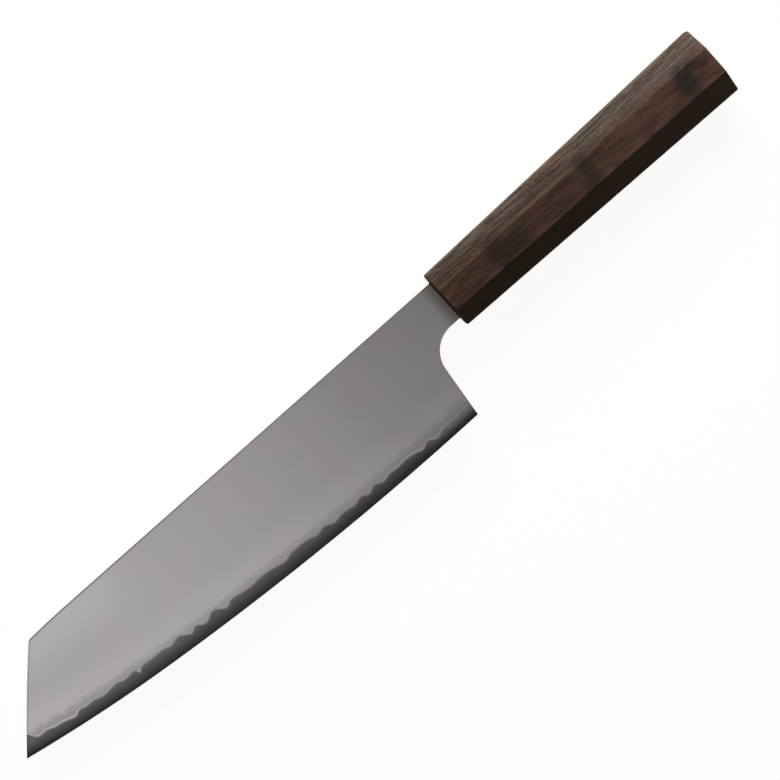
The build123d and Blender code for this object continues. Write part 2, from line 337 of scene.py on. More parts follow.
class BladeLines:
    """The blade's lines, seen from its left: X from the tip's end, Y up to the spine's line."""

    def __init__(self, blade, handle):
        self.blade = blade
        self.handle_place = HandlePlace(blade, handle)
        seal = handle.seal_thickness
        self.tip = Vector((0.0, -blade.tip_drop))
        self.heel = Vector((blade.length, -blade.heel_height))
        self.corner = Vector((blade.tip_cut_run, -blade.tip_corner_depth))
        self.make_edge()
        shoulder = [self.handle_place.flat(-seal, rise) for rise in (0.0, handle.front_height)]
        self.shoulder_top = self.level_crossing(*shoulder, 0.0)
        self.shoulder_low = self.level_crossing(*shoulder, -blade.neck_height)
        self.make_top()
        self.make_clad_line()
        self.make_choil()
        self.make_tang(seal)
        self.lowers = self.clad + self.choil[1:]
        self.uppers = [point_at(self.top, point.x) for point in self.lowers]
        self.uppers[0] = self.clad[0]
        self.uppers[-1] = self.shoulder_top
        # The corners of the face between the last row before the handle and the tang
        ends = [self.lowers[-2], self.lowers[-1], self.tang[0], self.tang[-1]]
        self.shoulder_face = [*ends, self.uppers[-1], self.uppers[-2]]

    @staticmethod
    def level_crossing(start, end, level):
        """Where the line through two points has this Y."""
        return mixed(start, end, (level - start.y) / (end.y - start.y))

    def make_edge(self):
        """The cutting edge: two arcs that touch, from the tip to the heel."""
        blade = self.blade
        belly = Vector((blade.belly_along, -blade.belly_depth))
        heel_direction = turned(Vector((-1.0, 0.0)), blade.heel_rise)
        heel_arc, belly_direction = arc_points(self.heel, belly, heel_direction, HEEL_ARC_STEPS)
        tip_arc = arc_points(belly, self.tip, belly_direction, TIP_ARC_STEPS)[0]
        self.edge = [*heel_arc, *tip_arc[1:]][::-1]
        self.edge_run = [0.0]
        for first, second in zip(self.edge, self.edge[1:]):
            self.edge_run.append(self.edge_run[-1] + (second - first).length)

    def edge_foot(self, share):
        """The point of the edge at this share of its length from the tip."""
        run = share * self.edge_run[-1]
        place = min(max(bisect_right(self.edge_run, run), 1), len(self.edge) - 1)
        start, end = self.edge_run[place - 1], self.edge_run[place]
        return mixed(self.edge[place - 1], self.edge[place], (run - start) / (end - start))

    def make_top(self):
        """The cut of the tip, its rounded upper corner and the spine up to the handle."""
        chord = self.corner - self.tip
        outward = turned(chord.normalized(), math.pi / 2)
        bulge = 4 * self.blade.tip_cut_bulge
        shares = [step / CUT_STEPS for step in range(CUT_STEPS + 1)]
        self.cut = [self.tip + chord * s + outward * (bulge * s * (1 - s)) for s in shares]
        spine_start = Vector((self.corner.x + self.blade.spine_fall_run, 0.0))
        fall = arc_points(spine_start, self.corner, Vector((-1.0, 0.0)), SPINE_FALL_STEPS)[0][::-1]
        radius = self.blade.tip_corner_radius
        corner = rounded_corner(self.cut[-4], self.corner, fall[2], radius, SMALL_CORNER_STEPS)
        shares = [step / SPINE_STEPS for step in range(1, SPINE_STEPS + 1)]
        spine = [mixed(spine_start, self.shoulder_top, share) for share in shares]
        cut = [point for point in self.cut if point.x < corner[0].x]
        fall = [point for point in fall if point.x > corner[-1].x]
        self.top = [*cut, *corner, *fall, *spine]

    def make_clad_line(self):
        """The wavy line where the cladding ends, from the tip's cut to the heel's line."""
        blade = self.blade
        points = []
        for along_share, height_share in CLAD_LINE_SHARES:
            points.append(self.edge_foot(along_share) + Vector((0.0, height_share * blade.strip_height)))
        points.append(points[-1] + Vector((LINE_OVERRUN, 0.0)))
        ahead = points[1:] + points[-1:]
        behind = points[:1] + points[:-1]
        leans = [(after - before).normalized() for before, after in zip(behind, ahead)]
        line = []
        for start, end, start_lean, end_lean in zip(points, points[1:], leans, leans[1:]):
            arm = (end - start).length / 3
            arms = (start + start_lean * arm, end - end_lean * arm)
            line += bezier_points(start, *arms, end, WAVE_STEPS)
        line.append(points[-1])
        run = (blade.heel_height - blade.neck_height) * math.tan(blade.choil_lean)
        self.choil_corner = Vector((blade.length + run, -blade.neck_height))
        start, next_place = first_crossing(line, self.cut)
        end, end_place = first_crossing(line[next_place:], [self.heel, self.choil_corner])
        inside = line[next_place:next_place + end_place]
        self.clad = [start, *inside, end]

    def make_choil(self):
        """The heel's line over the wavy line, the choil and the neck's lower side."""
        bend = rounded_corner(
            self.heel, self.choil_corner, self.shoulder_low, self.blade.choil_radius, CHOIL_STEPS
        )
        rise = [mixed(self.clad[-1], bend[0], step / HEEL_LINE_STEPS) for step in range(HEEL_LINE_STEPS)]
        shares = [step / NECK_STEPS for step in range(1, NECK_STEPS + 1)]
        neck = [mixed(bend[-1], self.shoulder_low, share) for share in shares]
        self.choil = [*rise, *bend, *neck]

    def make_tang(self, seal):
        """The tang's outline, from its lower corner at the shoulder round its end to its upper one."""
        blade, place = self.blade, self.handle_place
        low_start = place.flat(-seal, -blade.tang_front / 2)
        low_end = place.flat(blade.tang_length, -blade.tang_end / 2)
        high_end = place.flat(blade.tang_length, blade.tang_end / 2)
        high_start = place.flat(-seal, blade.tang_front / 2)
        radius = blade.tang_end_radius
        low_bend = rounded_corner(low_start, low_end, high_end, radius, SMALL_CORNER_STEPS)
        high_bend = rounded_corner(low_end, high_end, high_start, radius, SMALL_CORNER_STEPS)
        self.tang = [low_start, *low_bend, *high_bend, high_start]

    def half_thickness(self, flat):
        """Half of the blade's thickness on its flat ground faces."""
        blade = self.blade
        spine_slope = (blade.spine_heel - blade.spine_tip) / (blade.length - blade.tip_cut_run) / 2
        face_slope = (blade.spine_heel - blade.edge_thickness) / blade.heel_height / 2
        return blade.spine_heel / 2 - (blade.length - flat.x) * spine_slope + flat.y * face_slope

    def over_edge(self, flat):
        """Height over the cutting edge."""
        return flat.y - point_at(self.edge, flat.x).y

    def over_line(self, flat):
        """Height over the wavy line."""
        return flat.y - point_at(self.clad, flat.x).y

    def under_top(self, flat):
        """Depth under the spine or under the tip's cut."""
        return point_at(self.top, flat.x).y - flat.y


def outward_normals(line):
    """The directions at right angles to a line of points, on its left as it is followed."""
    normals = []
    for place in range(len(line)):
        before = line[max(place - 1, 0)]
        after = line[min(place + 1, len(line) - 1)]
        along = (after - before).normalized()
        normals.append(Vector((-along.y, along.x)))
    return normals


# Corners nearer to each other than this are one
SAME_PLACE = 0.0001 * MM


class PieceMesh:
    """Collects a piece's faces by their corners. Corners in the same place are one vertex."""

    def __init__(self):
        self.mesh = bmesh.new()
        self.corners = {}

    def corner(self, point):
        key = tuple(round(c / SAME_PLACE) for c in point)
        if key not in self.corners:
            self.corners[key] = self.mesh.verts.new(point)
        return self.corners[key]

    def face(self, *points):
        """One face. Repeated corners are taken once, and what is left without an area is left out."""
        corners = []
        for point in points:
            vertex = self.corner(point)
            if vertex not in corners:
                corners.append(vertex)
        if len(corners) > 2 and self.mesh.faces.get(corners) is None:
            self.mesh.faces.new(corners)

    def grid(self, rows):
        """Four-sided faces between each row of points and the next."""
        for row, following in zip(rows, rows[1:]):
            for place in range(1, len(row)):
                self.face(row[place - 1], row[place], following[place], following[place - 1])

    def ring_grid(self, rings):
        """The same for closed rings of points."""
        self.grid([[*ring, ring[0]] for ring in rings])

    def piece(self, name, material, sharp_angle):
        """The finished object, with smooth shading between its sharp edges."""
        bmesh.ops.recalc_face_normals(self.mesh, faces=self.mesh.faces[:])
        data = bpy.data.meshes.new(name)
        self.mesh.to_mesh(data)
        self.mesh.free()
        data.polygons.foreach_set("use_smooth", [True] * len(data.polygons))
        data.set_sharp_from_angle(angle=math.radians(sharp_angle))
        data.materials.append(material)
        piece = bpy.data.objects.new(name, data)
        bpy.context.scene.collection.objects.link(piece)
        normals = piece.modifiers.new("even_normals", "WEIGHTED_NORMAL")
        normals.keep_sharp = True
        normals.weight = 100
        return piece


def keep_values(piece, name, values):
    """Writes one number for each vertex, for the material to read."""
    attribute = piece.data.attributes.new(name, "FLOAT", "POINT")
    attribute.data.foreach_set("value", values)


def keep_blade_heights(piece, lines):
    """Heights over the edge and the wavy line and depth under the spine, in millimetres."""
    flats = [(vertex.co - ORIGIN).xy for vertex in piece.data.vertices]
    measures = {"over_edge": lines.over_edge, "over_line": lines.over_line, "under_top": lines.under_top}
    for name, measure in measures.items():
        keep_values(piece, name, [measure(flat) / MM for flat in flats])


# An eased edge takes up at most this share of a narrow face, and its middle row of points lies at this
# share of it, which makes it round
EASED_MOST = 1 / 8
EASED_MIDDLE = 0.3
# Heights of the rows of faces over the wavy line, in millimetres, close together where the finish changes
ROW_HEIGHTS = [0.15, 0.35, 0.7, 1.2, 2.0, 3.0, 4.5, 6.0, 8.0, 11.0, 16.0, 22.0, 29.0]
ROW_REACH = 36.0


def cladding_column(lines, place, low_normals, top_normals):
    """The outer face's points over one place of the wavy line or the choil, from below to the spine."""
    blade = lines.blade
    low, high = lines.lowers[place], lines.uppers[place]
    tall = (high - low).length
    on_line = place < len(lines.clad) - 1
    low_ease = min(blade.clad_lip if on_line else blade.eased, tall * EASED_MOST)
    high_ease = min(blade.eased, tall * EASED_MOST)
    inward = Vector((0.0, 1.0)) if on_line else low_normals[place]
    outward = top_normals[place]
    face_points = [low + inward * low_ease]
    for height in ROW_HEIGHTS:
        rise = low_ease + (tall - 2 * high_ease) * height * MM / max(tall, ROW_REACH * MM)
        face_points.append(mixed(low, high, rise / tall if tall else 0.0))
    face_points.append(high - outward * high_ease)
    column = [(low, -low_ease), (low + inward * low_ease * EASED_MIDDLE, -EASED_MIDDLE * low_ease)]
    column += [(point, 0.0) for point in face_points]
    column += [(high - outward * high_ease * EASED_MIDDLE, -EASED_MIDDLE * high_ease), (high, -high_ease)]
    return [(point, lines.half_thickness(point) + drop) for point, drop in column]


def make_cladding(name, lines, side, material):
    """One outer layer of the blade: side is 1 for the left one and -1 for the right one."""
    blade = lines.blade
    inner = blade.core_thickness / 2
    tang_face = blade.tang_thickness / 2
    maker = PieceMesh()

    def at(flat, height):
        return in_frame(flat, side * height)

    low_normals = outward_normals(lines.lowers)
    top_normals = outward_normals(lines.uppers)
    columns = []
    for place in range(len(lines.lowers)):
        column = cladding_column(lines, place, low_normals, top_normals)
        columns.append([at(point, height) for point, height in column])
    maker.grid(columns)
    low_wall = [[column[0], at(low, inner)] for column, low in zip(columns, lines.lowers)]
    top_wall = [[column[-1], at(high, inner)] for column, high in zip(columns, lines.uppers)]
    maker.grid(low_wall)
    maker.grid(top_wall)
    # The inner face, up to the shoulder, where the tang goes on
    pairs = zip(lines.lowers[:-1], lines.uppers[:-1])
    maker.grid([[at(low, inner), at(high, inner)] for low, high in pairs])
    maker.face(*[at(point, inner) for point in lines.shoulder_face])
    tang_low, tang_high = lines.tang[0], lines.tang[-1]
    maker.face(
        *columns[-1], at(lines.uppers[-1], inner), at(tang_high, inner), at(tang_high, tang_face),
        at(tang_low, tang_face), at(tang_low, inner), at(lines.lowers[-1], inner),
    )
    maker.face(*[at(point, tang_face) for point in lines.tang])
    maker.face(*[at(point, inner) for point in lines.tang])
    maker.grid([[at(point, inner), at(point, tang_face)] for point in lines.tang])
    piece = maker.piece(name, material, sharp_angle=12)
    keep_blade_heights(piece, lines)
    return piece


# Rows of the core strip between the top of the sharpened bevel and the wavy line, as shares
STRIP_ROWS = [0.0, 0.12, 0.28, 0.46, 0.64, 0.8, 0.92, 1.0]
# The bevel takes up at most this share of the strip, near the tip, where the strip is narrow
BEVEL_MOST = 0.6
# How many rows of the strip lie under the tip's cut, and how much closer together they are at the tip
CUT_ROWS = 14
CUT_ROW_POWER = 1.5


def strip_column(lines, foot, top):
    """The strip's points over one place of the edge, with their half thicknesses."""
    blade = lines.blade
    tall = (top - foot).length
    slope = math.tan(blade.edge_bevel)
    bevel = min(blade.edge_thickness / 2 / slope, BEVEL_MOST * tall)
    column = [(foot, 0.0), (mixed(foot, top, 0.5 * bevel / tall if tall else 0.0), bevel * slope / 2)]
    for share in STRIP_ROWS:
        rise = mixed(bevel, tall, share)
        point = mixed(foot, top, rise / tall if tall else 0.0)
        column.append((point, min(lines.half_thickness(point) - blade.clad_lip, rise * slope)))
    return column


def make_core(name, lines, material):
    """The middle layer, which shows as the strip over the edge and as a thin line along the spine."""
    inner = lines.blade.core_thickness / 2
    maker = PieceMesh()
    first = lines.clad[0]
    shares = [(row / CUT_ROWS) ** CUT_ROW_POWER for row in range(CUT_ROWS)]
    cut = [point_at(lines.cut, first.x * share) for share in shares]
    tops = [*cut, *lines.clad]
    squeeze = lines.blade.length / lines.clad[-1].x
    feet = [point_at(lines.edge, top.x * squeeze) for top in tops]
    tops[0] = feet[0] = lines.tip
    columns = [strip_column(lines, foot, top) for foot, top in zip(feet, tops)]
    sides = [[[in_frame(p, side * h) for p, h in column] for column in columns] for side in (1, -1)]
    left, right = sides
    for strip in sides:
        maker.grid(strip)
    # The cut of the tip: from one side's last row to the other's
    for place in range(1, CUT_ROWS):
        maker.face(left[place - 1][-1], left[place][-1], right[place][-1], right[place - 1][-1])
    step_left = in_frame(first, inner)
    step_right = in_frame(first, -inner)
    maker.face(
        left[CUT_ROWS - 1][-1], left[CUT_ROWS][-1], step_left,
        step_right, right[CUT_ROWS][-1], right[CUT_ROWS - 1][-1],
    )
    # The heel's line under the wavy line
    for row in range(1, len(left[-1]) - 1):
        maker.face(left[-1][row - 1], left[-1][row], right[-1][row], right[-1][row - 1])
    last = lines.clad[-1]
    maker.face(
        left[-1][-2], left[-1][-1], in_frame(last, inner), in_frame(last, -inner),
        right[-1][-1], right[-1][-2],
    )
    for strip, side in ((left, 1), (right, -1)):
        height = side * inner
        steps = strip[CUT_ROWS:]
        maker.grid([[column[-1], in_frame(point, height)] for column, point in zip(steps, lines.clad)])
        pairs = zip(lines.lowers[:-1], lines.uppers[:-1])
        maker.grid([[in_frame(low, height), in_frame(high, height)] for low, high in pairs])
        maker.face(*[in_frame(point, height) for point in lines.shoulder_face])
        maker.face(*[in_frame(point, height) for point in lines.tang])
    walls = [lines.uppers, lines.lowers[len(lines.clad) - 1:]]
    walls += [[lines.lowers[-1], lines.tang[0]], [lines.tang[-1], lines.uppers[-1]], lines.tang]
    for wall in walls:
        maker.grid([[in_frame(point, inner), in_frame(point, -inner)] for point in wall])
    piece = maker.piece(name, material, sharp_angle=8)
    keep_blade_heights(piece, lines)
    return piece


# Where each facet's inner points lie, as shares of its width
FACET_SHARES = (0.03, 0.08, 0.16, 0.3, 0.5, 0.7, 0.84, 0.92, 0.97)
# The least radius of a rounded edge, how fast wear and its painted highlight fade beside one, and how far
# they reach from the ends
LEAST_RADIUS = 0.06 * MM
WEAR_AND_PAINTED_HIGHLIGHT_FADE = 0.7 * MM
END_WEAR_AND_PAINTED_HIGHLIGHT = 2 * MM
# How many steps the handle's rounded ends and its length are divided into
END_STEPS = 5
LENGTH_STEPS = 56


class HandleShape:
    """Sections of the eight-sided taper, in the handle's own frame."""

    corner_steps = 4

    def __init__(self, handle, place):
        self.handle = handle
        self.place = place

    def corners(self, along, inset):
        """The eight corners of a section: rise and side."""
        handle = self.handle
        share = along / handle.length
        height = mixed(handle.front_height, handle.butt_height, share)
        thickness = mixed(handle.front_thickness, handle.butt_thickness, share)
        side = mixed(handle.side_front, handle.side_butt, share)
        top = thickness - (height - side) / math.tan(handle.chamfer)
        # Moving each facet inwards shortens it by its neighbours' angles.
        side_turn = math.pi / 2 - handle.chamfer
        side -= 2 * inset * math.tan(side_turn / 2)
        top -= 2 * inset * math.tan(handle.chamfer / 2)
        height -= 2 * inset
        thickness -= 2 * inset
        upper = [(side, thickness), (height, top), (height, -top), (side, -thickness)]
        lower = [(-rise, -out) for rise, out in upper]
        return [Vector((rise / 2, out / 2)) for rise, out in upper + lower]

    def section(self, along, inset):
        """A section's points and how near each is to a rounded edge, from 0 to 1."""
        corners = self.corners(along, inset)
        radius = max(self.handle.facet_radius - inset, LEAST_RADIUS)
        arcs = []
        for place, corner in enumerate(corners):
            after = corners[(place + 1) % 8]
            arcs.append(rounded_corner(corners[place - 1], corner, after, radius, self.corner_steps))
        points, ridges = [], []
        for place, arc in enumerate(arcs):
            start, end = arc[-1], arcs[(place + 1) % 8][0]
            wide = (end - start).length
            points += arc
            ridges += [1.0] * len(arc)
            for share in FACET_SHARES:
                points.append(mixed(start, end, share))
                near = min(share, 1 - share) * wide
                ridges.append(math.exp(-near / WEAR_AND_PAINTED_HIGHLIGHT_FADE))
        return points, ridges

    def ring(self, along, inset):
        """The same points in the frame of the part."""
        points, ridges = self.section(along, inset)
        return [self.place.point(along, point.x, point.y) for point in points], ridges


def make_handle(name, handle, place, material):
    """The handle with eased edges, its bore and its end faces."""
    shape = HandleShape(handle, place)
    radius = handle.end_radius
    stations = []
    for step in range(END_STEPS + 1):
        angle = math.radians(90 / END_STEPS * step)
        stations.append((radius * (1 - math.cos(angle)), radius * (1 - math.sin(angle))))
    shares = [step / LENGTH_STEPS for step in range(1, LENGTH_STEPS)]
    middle = [(mixed(radius, handle.length - radius, share), 0.0) for share in shares]
    butt = [(handle.length - along, inset) for along, inset in reversed(stations)]
    stations += [*middle, *butt]
    maker = PieceMesh()
    # How near each corner is to a rounded edge or an end, for the wood's wear and its painted highlight
    wear_and_painted_highlight = {}
    rings = []
    for along, inset in stations:
        ring, ridges = shape.ring(along, inset)
        at_end = 1 - min(min(along, handle.length - along) / END_WEAR_AND_PAINTED_HIGHLIGHT, 1)
        for point, ridge in zip(ring, ridges):
            wear_and_painted_highlight[maker.corner(point)] = max(ridge, at_end)
        rings.append(ring)
    maker.ring_grid(rings)
    # The front face with the bore, and the closed butt
    front, _ = shape.section(0.0, radius)
    bore = [point.normalized() * (handle.bore / 2) for point in front]
    face_rings = []
    for share in (0.0, 0.25, 0.6, 0.9, 1.0):
        face_rings.append([place.point(0.0, *mixed(out, hole, share)) for out, hole in zip(front, bore)])
    maker.ring_grid(face_rings)
    bore_rings = []
    for along in (0.0, 0.2 * handle.bore_length, handle.bore_length):
        bore_rings.append([place.point(along, *point) for point in bore])
    maker.ring_grid(bore_rings)
    maker.face(*bore_rings[-1])
    end, _ = shape.section(handle.length, radius)
    end_rings = []
    for share in (1.0, 0.8, 0.45):
        end_rings.append([place.point(handle.length, *(point * share)) for point in end])
    maker.ring_grid(end_rings)
    maker.face(*end_rings[-1])
    maker.mesh.verts.index_update()
    values = {vertex.index: value for vertex, value in wear_and_painted_highlight.items()}
    count = len(maker.mesh.verts)
    piece = maker.piece(name, material, sharp_angle=35)
    keep_values(piece, "wear_and_painted_highlight", [values.get(index, 0.0) for index in range(count)])
    return piece


class Signal:
    """An output of a material's node. Python's operators on it add Math nodes."""

    def __init__(self, finish, socket):
        self.finish = finish
        self.socket = socket

    def __add__(self, other):
        return self.finish.maths("ADD", self, other)

    def __radd__(self, other):
        return self.finish.maths("ADD", other, self)

    def __sub__(self, other):
        return self.finish.maths("SUBTRACT", self, other)

    def __rsub__(self, other):
        return self.finish.maths("SUBTRACT", other, self)

    def __mul__(self, other):
        return self.finish.maths("MULTIPLY", self, other)

    def __rmul__(self, other):
        return self.finish.maths("MULTIPLY", other, self)

    def __truediv__(self, other):
        return self.finish.maths("DIVIDE", self, other)

    def __rtruediv__(self, other):
        return self.finish.maths("DIVIDE", other, self)

    def __pow__(self, other):
        return self.finish.maths("POWER", self, other)

    def __rpow__(self, other):
        return self.finish.maths("POWER", other, self)


class Finish:
    """A material, or the world's shader, that is made node by node."""

    def __init__(self, name, owner=None):
        self.owner = owner or bpy.data.materials.new(name)
        self.owner.use_nodes = True
        self.tree = self.owner.node_tree
        self.tree.nodes.clear()

    def node(self, kind, settings=None, sockets=None, output=0):
        """Adds a node, sets it, gives its sockets values or links, and returns one of its outputs."""
        node = self.tree.nodes.new(kind)
        for name, value in (settings or {}).items():
            setattr(node, name, value)
        for name, value in (sockets or {}).items():
            if isinstance(value, Signal):
                self.tree.links.new(value.socket, node.inputs[name])
            else:
                node.inputs[name].default_value = value
        return Signal(self, node.outputs[output]) if len(node.outputs) else None

    def maths(self, operation, *values):
        return self.node("ShaderNodeMath", {"operation": operation}, dict(enumerate(values)))

    def clamped(self, value):
        return self.node("ShaderNodeMath", {"operation": "ADD", "use_clamp": True}, {0: value, 1: 0.0})

    def smooth(self, value, start, end):
        """Rises smoothly from 0 to 1 while the value goes from start to end."""
        settings = {"interpolation_type": "SMOOTHSTEP"}
        sockets = {"Value": value, "From Min": start, "From Max": end}
        return self.node("ShaderNodeMapRange", settings, sockets)

    def level(self, value, start, end, low, high):
        """Goes in a straight line from low to high while the value goes from start to end."""
        sockets = {"Value": value, "From Min": start, "From Max": end, "To Min": low, "To Max": high}
        return self.node("ShaderNodeMapRange", {"clamp": True}, sockets)

    def blend(self, share, first, second, how="MIX"):
        """Two colours mixed by a share."""
        shades = [v if isinstance(v, Signal) else (*v, 1.0) for v in (first, second)]
        settings = {"data_type": "RGBA", "blend_type": how}
        return self.node("ShaderNodeMix", settings, {0: share, 6: shades[0], 7: shades[1]}, 2)

    def scaled(self, shade, factor):
        """A colour made lighter or darker by a number that varies."""
        grey = self.node("ShaderNodeCombineColor", None, {0: factor, 1: factor, 2: factor})
        return self.blend(1.0, shade, grey, "MULTIPLY")

    def place(self):
        """The place on the piece, in millimetres."""
        spot = self.node("ShaderNodeTexCoord", output="Object")
        settings = {"operation": "SCALE"}
        return self.node("ShaderNodeVectorMath", settings, {0: spot, "Scale": 1 / MM})

    def stretched(self, vector, scales):
        return self.node("ShaderNodeVectorMath", {"operation": "MULTIPLY"}, {0: vector, 1: scales})

    def shifted(self, vector, by):
        return self.node("ShaderNodeVectorMath", {"operation": "ADD"}, {0: vector, 1: by})

    def part_of(self, vector, axis):
        return self.node("ShaderNodeSeparateXYZ", None, {0: vector}, axis)

    def noise(self, vector, scales, detail=2.0, roughness=0.5):
        """Soft noise from 0 to 1, with these many features a millimetre along each axis."""
        sockets = {"Vector": self.stretched(vector, scales), "Scale": 1.0, "Detail": detail}
        sockets["Roughness"] = roughness
        return self.node("ShaderNodeTexNoise", None, sockets)

    def attribute(self, name):
        return self.node("ShaderNodeAttribute", {"attribute_name": name}, output="Fac")

    def bump(self, height, distance):
        """A normal from a height from 0 to 1, with this depth in millimetres."""
        sockets = {"Height": height, "Distance": distance * MM, "Strength": 1.0}
        return self.node("ShaderNodeBump", None, sockets)

    def surface(self, sockets):
        """The finished shader."""
        shader = self.node("ShaderNodeBsdfPrincipled", None, sockets)
        self.node("ShaderNodeOutputMaterial", {"target": "ALL"}, {"Surface": shader})
        return self.owner


def shaded_steel(finish, place, base, shade):
    """The steel's colour, darker along the spine and inside the tip's cut, and with a painted shadow and
    warm painted reflection of the handle before it.
    """
    along = finish.part_of(place, "X")
    under_top = finish.attribute("under_top")
    on_spine = finish.smooth(along, CUT_END_ALONG - 1.5, CUT_END_ALONG + 0.5)
    spine = (1 - finish.smooth(under_top, 0.25, 0.7)) * on_spine
    spine = spine * finish.level(along, -110.0, 20.0, 0.56, 0.12)
    inside_cut = finish.smooth(under_top, 0.35, 0.6) * (1 - finish.smooth(under_top, 0.7, 1.2))
    # A painted shadow of the handle on the neck, tinted by a painted reflection of its wood
    neck = finish.smooth(along, FRONT_ALONG - 6.0, FRONT_ALONG - 0.8)
    shade = shade * (1 - spine) * (1 - inside_cut * (1 - on_spine) * 0.25)
    return finish.blend(neck, finish.scaled(base, shade), NECK_PAINTED_SHADOW, "MULTIPLY")


def cladding_finish(finishes):
    """Satin steel: fine lines from spine to edge, soft clouds, and a duller band over the wavy line."""
    finish = Finish("satin_cladding_steel")
    place = finish.place()
    along = finish.part_of(place, "X") - ORIGIN.x / MM
    over_edge = finish.attribute("over_edge")
    over_line = finish.attribute("over_line")
    cloud = finish.noise(place, (0.03, 0.06, 0.2), 2.0)
    tint = finish.noise(place, (0.05, 0.05, 0.2), 2.0)
    lines = finish.noise(place, (9.0, 0.05, 0.4), 3.0, 0.7)
    fine = finish.noise(place, (30.0, 0.25, 1.0), 2.0, 0.6)
    # The wavy line has a light rim near the tip and the heel, a painted highlight of the cladding's lip
    by_tip = 1 - finish.smooth(along, 22.0, 34.0)
    by_heel = finish.smooth(along, 152.0, 168.0) * (1 - finish.smooth(along, 180.0, 194.0) * 0.8)
    ragged = finish.smooth(finish.noise(place, (0.5, 0.9, 0.9), 3.0, 0.7), 0.36, 0.62)
    near_line = 1 - finish.smooth(over_line, 0.2, 0.95)
    rim_painted_highlight = near_line * (by_tip * 0.12 + by_heel * 0.15) * (0.4 + ragged)
    # Over it lie a dull band and then a lighter one, a painted reflection of the convex grind, and a
    # painted highlight brightens the face near the tip
    over_dull = finish.smooth(over_edge + (ragged - 0.5) * 1.6, 6.1, 8.9)
    dull = finish.smooth(over_line, -0.3, 0.5) * (1 - over_dull)
    dull = dull * finish.level(along, 20.0, 75.0, 0.27, 0.17)
    dull = dull * (1 - near_line * (by_tip * 0.9 + by_heel * 0.8))
    tip_painted_highlight = finish.smooth(over_edge, 20.0, 36.0) * (1 - finish.smooth(along, 54.0, 76.0)) * 0.14
    glow = finish.smooth(over_edge, 6.0, 9.2) * (1 - finish.smooth(over_edge, 10.5, 19.0)) * 0.07
    shade = 1.0 + rim_painted_highlight - dull + glow + tip_painted_highlight + (cloud - 0.5) * 0.12 + (lines - 0.5) * 0.05
    base = finish.blend(finish.smooth(tint, 0.35, 0.65), finishes.cladding, finishes.cladding_cool)
    base = shaded_steel(finish, place, base, shade)
    roughness = 0.3 + (lines - 0.5) * 0.08 + (cloud - 0.5) * 0.05
    normal = finish.bump(lines * 0.7 + fine * 0.3, 0.0016)
    sockets = {"Base Color": base, "Metallic": 1.0, "Roughness": roughness, "Normal": normal}
    return finish.surface(sockets)


def core_finish(finishes):
    """Etched core steel: dark along the edge, partly as painted shade of the convex grind, lighter under
    the wavy line and beside the heel.
    """
    finish = Finish("etched_core_steel")
    place = finish.place()
    along = finish.part_of(place, "X") - ORIGIN.x / MM
    over_edge = finish.attribute("over_edge")
    cloud = finish.noise(place, (0.12, 0.3, 0.5), 3.0)
    lines = finish.noise(place, (11.0, 0.06, 0.4), 3.0, 0.7)
    # Darker towards the edge: etched steel, and painted shade of the convex grind
    rise = finish.level(over_edge, 1.5, 5.2, 0.0, 1.0)
    ragged = finish.noise(place, (0.55, 0.7, 0.9), 4.0, 0.75)
    rise = finish.clamped(rise + (ragged - 0.5) * 0.7 * finish.smooth(over_edge, 1.5, 3.5))
    strip = finish.blend(rise, finishes.core_edge, finishes.core_line)
    heel = finish.smooth(along, 174.0, 191.0) * finish.smooth(over_edge, 0.8, 4.8) * 0.55
    strip = finish.blend(heel, strip, finishes.core_heel)
    by_line = finish.smooth(finish.attribute("over_line"), -0.9, 0.1) * 0.4
    strip = finish.blend(by_line, strip, finishes.core_heel)
    body = finish.smooth(over_edge, 9.0, 12.0)
    strip = finish.blend(body, strip, finishes.cladding)
    base = shaded_steel(finish, place, strip, 1.0 + (cloud - 0.5) * 0.3 + (lines - 0.5) * 0.12)
    roughness = 0.36 + (lines - 0.5) * 0.1
    normal = finish.bump(lines, 0.0015)
    sockets = {"Base Color": base, "Metallic": 1.0, "Roughness": roughness, "Normal": normal}
    return finish.surface(sockets)


# Soft dark patches on the handle: place in millimetres and half sizes
WOOD_PATCHES = [
    ((70.3, 12.5, 20.0), (6.2, 9.5, 3.2)),
    ((77.5, 10.8, 20.0), (9.2, 5.6, 3.2)),
    ((113.0, 12.8, 20.4), (4.4, 9.5, 3.2)),
    ((112.0, 8.8, 20.4), (6.5, 4.0, 3.2)),
    ((159.2, 13.0, 21.0), (5.6, 9.5, 3.2)),
    ((163.5, 16.8, 20.6), (6.5, 3.0, 3.0)),
    ((58.0, 12.0, 1.0), (9.0, 5.0, 3.2)),
    ((133.0, 14.0, 0.5), (6.0, 9.0, 3.2)),
    ((98.0, 26.0, 9.0), (9.0, 3.2, 5.0)),
]


# Where the pith lies, towards the spine and under the knife, and the rings' width, in millimetres
PITH_RISE = 2.0
PITH_DEPTH = 46.0
RING_WIDTH = 0.85


def dark_patches(finish, place, figure):
    """Where the wood's dark patches are, from 0 to 1."""
    patches = None
    for spot, reach in WOOD_PATCHES:
        offset = finish.shifted(place, tuple(-c for c in spot))
        offset = finish.stretched(offset, tuple(1 / c for c in reach))
        far = finish.node("ShaderNodeVectorMath", {"operation": "LENGTH"}, {0: offset}, "Value")
        patch = 1 - finish.smooth(far + (figure - 0.5) * 0.4, 0.3, 1.1)
        patches = patch if patches is None else finish.maths("MAXIMUM", patches, patch)
    return patches


